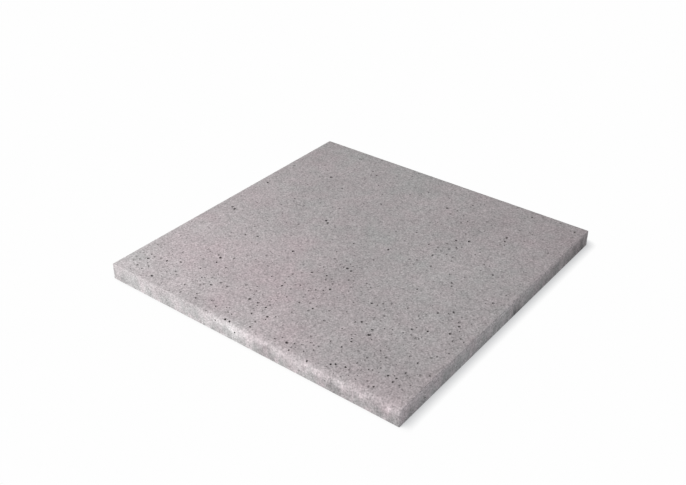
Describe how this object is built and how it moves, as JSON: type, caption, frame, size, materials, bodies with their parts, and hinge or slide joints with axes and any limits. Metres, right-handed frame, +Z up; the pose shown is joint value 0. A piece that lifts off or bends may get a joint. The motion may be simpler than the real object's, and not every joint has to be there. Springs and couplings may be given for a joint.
{
  "type": "pool coping corner slab",
  "caption": "Square slab of thin cast stone for the corner of a pool surround, with one top edge rounded to a nosing that dies away before the far corner.",
  "frame": {"origin": "centre of the square underside, which is the bedding face", "axes": "+Z up through the slab's thickness, -Y towards the nosed water-side edge, +X towards the end where the nosing is at its full radius"},
  "size_m": [0.5, 0.5, 0.025],
  "materials": {
    "cast_stone": "matt, fine sandy grain with small open pores"
  },
  "bodies": {
    "root": {"coping_slab": "cast_stone"}
  },
  "joints": []
}
